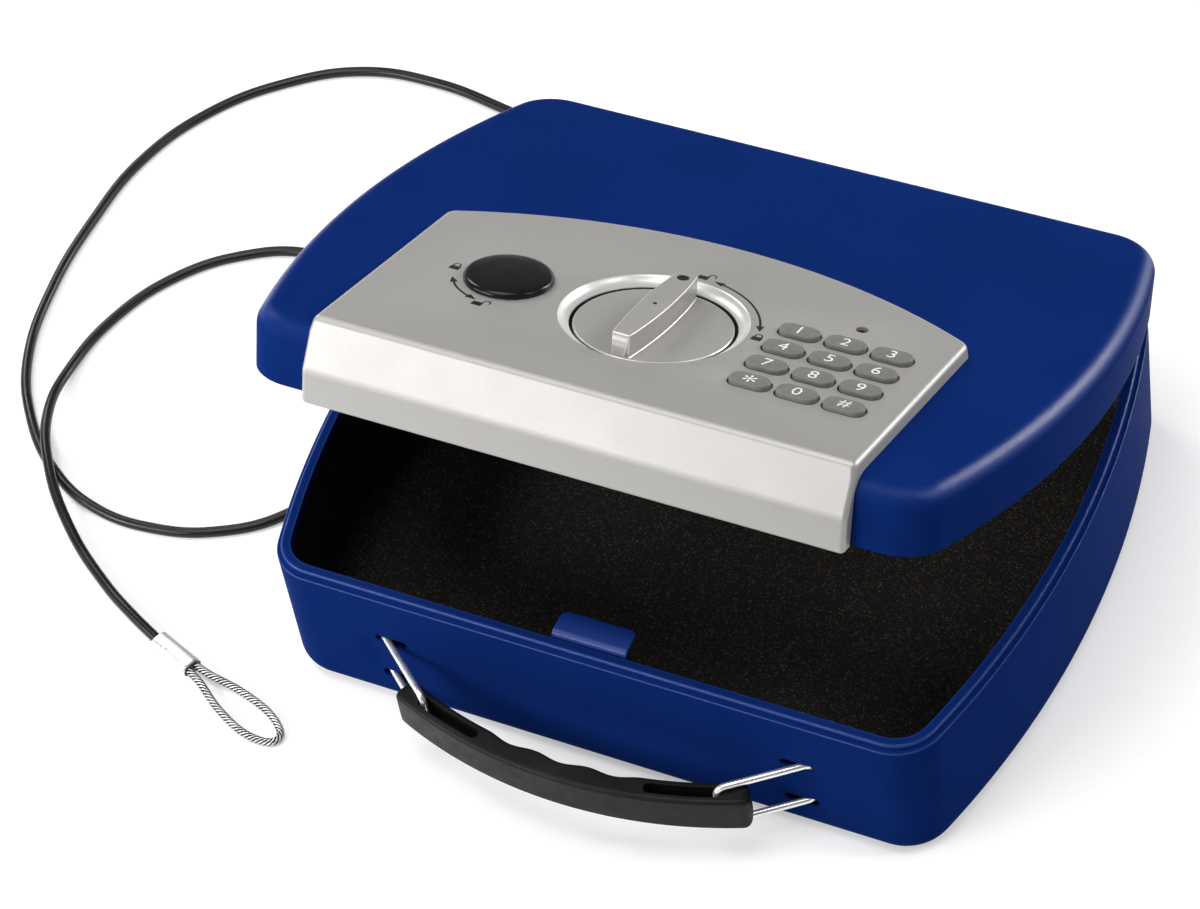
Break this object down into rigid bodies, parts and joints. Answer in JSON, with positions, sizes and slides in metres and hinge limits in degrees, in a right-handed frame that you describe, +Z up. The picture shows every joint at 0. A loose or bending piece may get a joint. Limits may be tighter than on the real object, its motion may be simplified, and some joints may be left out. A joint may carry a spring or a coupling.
{
  "type": "portable car safe",
  "caption": "Portable steel car safe with a keypad and dial lock, a spare-key lock under a cap, a folding handle and a steel tether cable.",
  "frame": {"origin": "centre of the tub's flat bottom, on the surface it stands on", "axes": "+Z up, the front with the handle faces -Y, +X to the right seen from the front"},
  "size_m": [0.4432, 0.3194, 0.1643],
  "materials": {
    "blue_powder_coat": "fine textured powder coat",
    "black_foam": "matte closed-cell foam",
    "silver_plastic": "satin metallic paint on plastic",
    "gloss_black_cap": "gloss",
    "smoked_lens": "clear, smoked",
    "key_rubber": "matte moulded",
    "black_grip": "fine leather grain",
    "black_case": "fine spark texture",
    "bright_wire": "bright",
    "zinc_steel": "zinc plated",
    "wire_rope": "galvanised strands",
    "cable_coat": "smooth vinyl",
    "ferrule_aluminium": "crimped",
    "lock_brass": "machined",
    "board_green": "solder mask",
    "cell_wrap": "printed sleeve"
  },
  "bodies": {
    "base": {"base_tub": "blue_powder_coat", "base_liner": "black_foam", "keeper": "blue_powder_coat", "keeper_rivet_1": "zinc_steel", "keeper_rivet_2": "zinc_steel", "hinge_leaf_base": "zinc_steel", "hinge_pin": "zinc_steel", "hinge_rivet_base_1": "zinc_steel", "hinge_rivet_base_2": "zinc_steel", "hinge_rivet_base_3": "zinc_steel", "loop_post": "zinc_steel", "cable_grommet": "black_grip", "cable_stop": "ferrule_aluminium", "tether_cable": "cable_coat", "cable_ferrule": "ferrule_aluminium", "cable_end_loop": "wire_rope"},
    "grip": {"handle_grip": "black_grip"},
    "bail_left": {"handle_bail_left": "bright_wire"},
    "bail_right": {"handle_bail_right": "bright_wire"},
    "lid": {"lid_shell": "blue_powder_coat", "hinge_leaf_lid": "zinc_steel", "hinge_rivet_lid_1": "zinc_steel", "hinge_rivet_lid_2": "zinc_steel", "hinge_rivet_lid_3": "zinc_steel", "lock_panel": "silver_plastic", "lock_case": "black_case", "case_screw_1": "zinc_steel", "case_screw_2": "zinc_steel", "case_screw_3": "zinc_steel", "case_screw_4": "zinc_steel", "solenoid": "zinc_steel", "key_cylinder": "lock_brass", "keypad_board": "board_green", "lamp_lens": "smoked_lens", "cell_1": "cell_wrap", "cell_2": "cell_wrap", "cell_3": "cell_wrap", "cell_4": "cell_wrap"},
    "dial": {"dial": "silver_plastic", "dial_spindle": "zinc_steel"},
    "bolt": {"latch_bolt": "zinc_steel"},
    "plunger": {"solenoid_plunger": "zinc_steel"},
    "plug": {"key_plug": "lock_brass"},
    "cap": {"key_cap": "gloss_black_cap"},
    "door": {"battery_door": "black_case"},
    "key_1": {"key_1": "key_rubber"},
    "key_2": {"key_2": "key_rubber"},
    "key_3": {"key_3": "key_rubber"},
    "key_4": {"key_4": "key_rubber"},
    "key_5": {"key_5": "key_rubber"},
    "key_6": {"key_6": "key_rubber"},
    "key_7": {"key_7": "key_rubber"},
    "key_8": {"key_8": "key_rubber"},
    "key_9": {"key_9": "key_rubber"},
    "key_star": {"key_star": "key_rubber"},
    "key_0": {"key_0": "key_rubber"},
    "key_hash": {"key_hash": "key_rubber"}
  },
  "joints": [
    {"name": "lid_hinge", "type": "hinge", "parent": "base", "child": "lid", "pos_m": [0, 0.11045, 0.0546], "axis": [-1, 0, 0], "range_deg": [-22.1, 78]},
    {"name": "handle_slide", "type": "slide", "parent": "base", "child": "grip", "axis": [0, 1, 0], "range_m": [0, 0.00865]},
    {"name": "bail_left_swing", "type": "hinge", "parent": "base", "child": "bail_left", "pos_m": [-0.081, -0.105, 0.025], "axis": [0, 0, 1], "range_deg": [0, 14.45]},
    {"name": "bail_right_swing", "type": "hinge", "parent": "base", "child": "bail_right", "pos_m": [0.081, -0.105, 0.025], "axis": [0, 0, -1], "range_deg": [0, 14.45]},
    {"name": "dial_turn", "type": "hinge", "parent": "lid", "child": "dial", "pos_m": [0, -0.03214, 0.12912], "axis": [0, -0.3762, -0.9265], "range_deg": [0, 90]},
    {"name": "bolt_slide", "type": "slide", "parent": "lid", "child": "bolt", "axis": [0, -0.9265, 0.3762], "range_m": [0, 0.008]},
    {"name": "plunger_slide", "type": "slide", "parent": "lid", "child": "plunger", "axis": [1, 0, 0], "range_m": [0, 0.0026]},
    {"name": "key_plug_turn", "type": "hinge", "parent": "lid", "child": "plug", "pos_m": [-0.0537, -0.03054, 0.13387], "axis": [0, -0.3762, -0.9265], "range_deg": [0, 90]},
    {"name": "cap_lift", "type": "slide", "parent": "lid", "child": "cap", "axis": [0, 0.3762, 0.9265], "range_m": [0, 0.012]},
    {"name": "battery_door_drop", "type": "slide", "parent": "lid", "child": "door", "axis": [0, -0.3762, -0.9265], "range_m": [0, 0.012]},
    {"name": "press_1", "type": "slide", "parent": "lid", "child": "key_1", "axis": [0, -0.3762, -0.9265], "range_m": [0, 0.001], "stiffness_N_per_m": 200},
    {"name": "press_2", "type": "slide", "parent": "lid", "child": "key_2", "axis": [0, -0.3762, -0.9265], "range_m": [0, 0.001], "stiffness_N_per_m": 200},
    {"name": "press_3", "type": "slide", "parent": "lid", "child": "key_3", "axis": [0, -0.3762, -0.9265], "range_m": [0, 0.001], "stiffness_N_per_m": 200},
    {"name": "press_4", "type": "slide", "parent": "lid", "child": "key_4", "axis": [0, -0.3762, -0.9265], "range_m": [0, 0.001], "stiffness_N_per_m": 200},
    {"name": "press_5", "type": "slide", "parent": "lid", "child": "key_5", "axis": [0, -0.3762, -0.9265], "range_m": [0, 0.001], "stiffness_N_per_m": 200},
    {"name": "press_6", "type": "slide", "parent": "lid", "child": "key_6", "axis": [0, -0.3762, -0.9265], "range_m": [0, 0.001], "stiffness_N_per_m": 200},
    {"name": "press_7", "type": "slide", "parent": "lid", "child": "key_7", "axis": [0, -0.3762, -0.9265], "range_m": [0, 0.001], "stiffness_N_per_m": 200},
    {"name": "press_8", "type": "slide", "parent": "lid", "child": "key_8", "axis": [0, -0.3762, -0.9265], "range_m": [0, 0.001], "stiffness_N_per_m": 200},
    {"name": "press_9", "type": "slide", "parent": "lid", "child": "key_9", "axis": [0, -0.3762, -0.9265], "range_m": [0, 0.001], "stiffness_N_per_m": 200},
    {"name": "press_star", "type": "slide", "parent": "lid", "child": "key_star", "axis": [0, -0.3762, -0.9265], "range_m": [0, 0.001], "stiffness_N_per_m": 200},
    {"name": "press_0", "type": "slide", "parent": "lid", "child": "key_0", "axis": [0, -0.3762, -0.9265], "range_m": [0, 0.001], "stiffness_N_per_m": 200},
    {"name": "press_hash", "type": "slide", "parent": "lid", "child": "key_hash", "axis": [0, -0.3762, -0.9265], "range_m": [0, 0.001], "stiffness_N_per_m": 200}
  ],
  "couplings": [
    {"joint": "bail_left_swing", "follows": "handle_slide", "rad_per_m": 29.15},
    {"joint": "bail_right_swing", "follows": "handle_slide", "rad_per_m": 29.15},
    {"joint": "dial_turn", "follows": "bolt_slide", "rad_per_m": 196.3}
  ]
}
